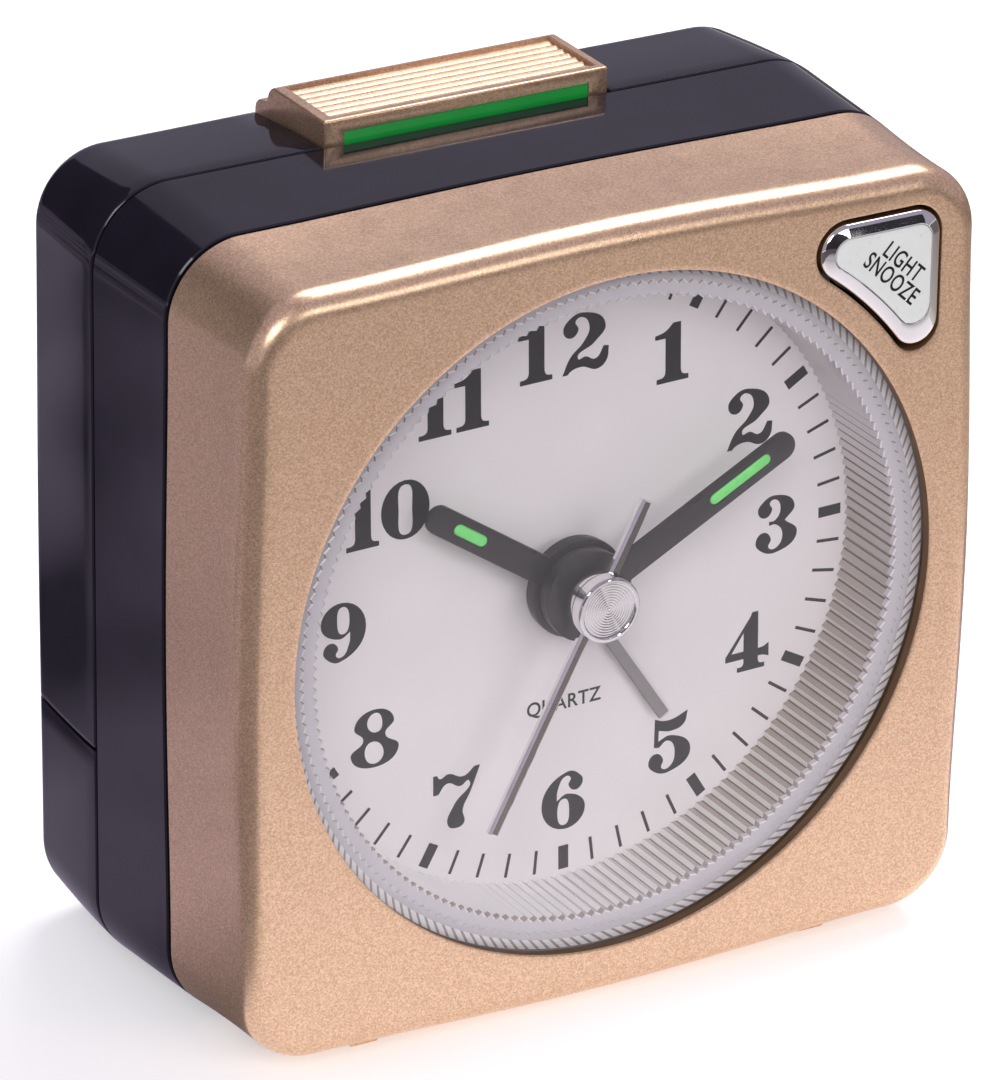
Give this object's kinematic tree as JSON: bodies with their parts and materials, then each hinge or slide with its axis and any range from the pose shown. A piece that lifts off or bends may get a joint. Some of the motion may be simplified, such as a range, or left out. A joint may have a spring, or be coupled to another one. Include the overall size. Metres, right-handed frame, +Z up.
{
  "type": "travel alarm clock",
  "caption": "Square quartz travel alarm clock with a round dial, a corner snooze and light button, a top alarm bar, rear setting knobs and a sliding battery door.",
  "frame": {"origin": "middle of the bounding box at the height of the base rails the clock stands on", "axes": "+X to the right seen from the front, +Y from the dial to the back, +Z up"},
  "size_m": [0.065, 0.0358, 0.067],
  "materials": {
    "gold_paint": "moulded plastic with fine metallic champagne-gold lacquer",
    "black_gloss": "high-gloss black moulding",
    "black_satin": "satin black moulding",
    "clear_plastic": "clear polystyrene",
    "dial_card": "printed off-white card",
    "white_plastic": "natural moulding",
    "grey_plastic": "smooth pale grey moulding",
    "green_plastic": "glossy green",
    "lume": "luminous paint",
    "chrome": "bright plated",
    "steel": "plain steel",
    "brass": "turned or stamped brass",
    "copper": "enamelled copper wire",
    "magnet": "dark moulded magnet or epoxy",
    "board": "green laminate",
    "battery_wrap": "plain foil wrap"
  },
  "bodies": {
    "case": {"front_bezel": "gold_paint", "crystal": "clear_plastic", "light_ring": "clear_plastic", "dial": "dial_card", "mid_case": "black_gloss", "back_case": "black_gloss", "case_screw_1": "steel", "case_screw_2": "steel", "case_screw_3": "steel", "case_screw_4": "steel", "movement_front_plate": "white_plastic", "movement_middle_plate": "white_plastic", "movement_cover": "black_satin", "movement_screw_1": "steel", "movement_screw_2": "steel", "movement_screw_3": "steel", "stator": "steel", "coil_core": "steel", "coil_bobbin": "white_plastic", "coil_winding": "copper", "circuit_board": "board", "clock_chip": "magnet", "quartz_crystal": "steel", "buzzer": "black_satin", "lamp": "clear_plastic", "battery": "battery_wrap", "battery_cradle": "black_satin", "positive_contact": "steel", "negative_contact": "steel", "negative_spring": "steel", "snooze_contact": "brass", "alarm_switch_contact": "brass"},
    "seconds": {"second_hand": "chrome", "second_hand_cap": "chrome", "second_wheel": "white_plastic"},
    "third": {"third_wheel": "white_plastic"},
    "centre": {"centre_wheel": "brass"},
    "intermediate": {"intermediate_wheel": "white_plastic"},
    "rotor": {"rotor_pinion": "white_plastic", "rotor_magnet": "magnet"},
    "minutes": {"minute_hand": "black_satin", "minute_lume": "lume", "minute_pipe": "brass"},
    "time_setting": {"minute_wheel": "white_plastic", "time_knob": "black_satin"},
    "hours": {"hour_hand": "black_satin", "hour_lume": "lume", "hour_wheel": "white_plastic"},
    "alarm_pointer": {"alarm_hand": "steel", "alarm_wheel": "white_plastic"},
    "alarm_setting": {"alarm_setting_gear": "white_plastic", "alarm_knob": "black_satin"},
    "snooze": {"snooze_button": "chrome", "snooze_insert": "grey_plastic"},
    "bar": {"alarm_bar": "gold_paint", "alarm_bar_stripe": "green_plastic"},
    "door": {"battery_door": "black_gloss"}
  },
  "joints": [
    {"name": "second_hand_spin", "type": "hinge", "parent": "case", "child": "seconds", "pos_m": [0, 0, 0.03265], "axis": [0, 1, 0], "continuous": true},
    {"name": "third_wheel_spin", "type": "hinge", "parent": "case", "child": "third", "pos_m": [0, 0, 0.0421], "axis": [0, 1, 0], "continuous": true},
    {"name": "centre_wheel_spin", "type": "hinge", "parent": "case", "child": "centre", "pos_m": [0, 0, 0.03265], "axis": [0, 1, 0], "continuous": true},
    {"name": "intermediate_wheel_spin", "type": "hinge", "parent": "case", "child": "intermediate", "pos_m": [0.00702, 0, 0.02633], "axis": [0, 1, 0], "continuous": true},
    {"name": "rotor_spin", "type": "hinge", "parent": "case", "child": "rotor", "pos_m": [0.01323, 0, 0.02742], "axis": [0, 1, 0], "continuous": true},
    {"name": "minute_hand_spin", "type": "hinge", "parent": "case", "child": "minutes", "pos_m": [0, 0, 0.03265], "axis": [0, 1, 0], "continuous": true},
    {"name": "time_knob_spin", "type": "hinge", "parent": "case", "child": "time_setting", "pos_m": [-0.00866, 0, 0.03765], "axis": [0, 1, 0], "continuous": true},
    {"name": "hour_hand_spin", "type": "hinge", "parent": "case", "child": "hours", "pos_m": [0, 0, 0.03265], "axis": [0, 1, 0], "continuous": true},
    {"name": "alarm_knob_spin", "type": "hinge", "parent": "case", "child": "alarm_setting", "pos_m": [0.01039, 0, 0.03865], "axis": [0, 1, 0], "continuous": true},
    {"name": "alarm_hand_spin", "type": "hinge", "parent": "case", "child": "alarm_pointer", "pos_m": [0, 0, 0.03265], "axis": [0, 1, 0], "continuous": true},
    {"name": "snooze_press", "type": "slide", "parent": "case", "child": "snooze", "axis": [0, 1, 0], "range_m": [0, 0.0008], "stiffness_N_per_m": 400, "springref_m": -0.001},
    {"name": "alarm_bar_press", "type": "slide", "parent": "case", "child": "bar", "axis": [0, 0, 1], "range_m": [-0.0012, 0]},
    {"name": "battery_door_slide", "type": "slide", "parent": "case", "child": "door", "axis": [0, 1, 0], "range_m": [0, 0.014]}
  ],
  "couplings": [
    {"joint": "third_wheel_spin", "follows": "second_hand_spin", "ratio": -0.13333},
    {"joint": "centre_wheel_spin", "follows": "second_hand_spin", "ratio": 0.016667},
    {"joint": "intermediate_wheel_spin", "follows": "second_hand_spin", "ratio": -6},
    {"joint": "rotor_spin", "follows": "second_hand_spin", "ratio": 30},
    {"joint": "time_knob_spin", "follows": "minute_hand_spin", "ratio": -0.33333},
    {"joint": "hour_hand_spin", "follows": "minute_hand_spin", "ratio": 0.083333},
    {"joint": "alarm_hand_spin", "follows": "alarm_knob_spin", "ratio": -0.5}
  ]
}
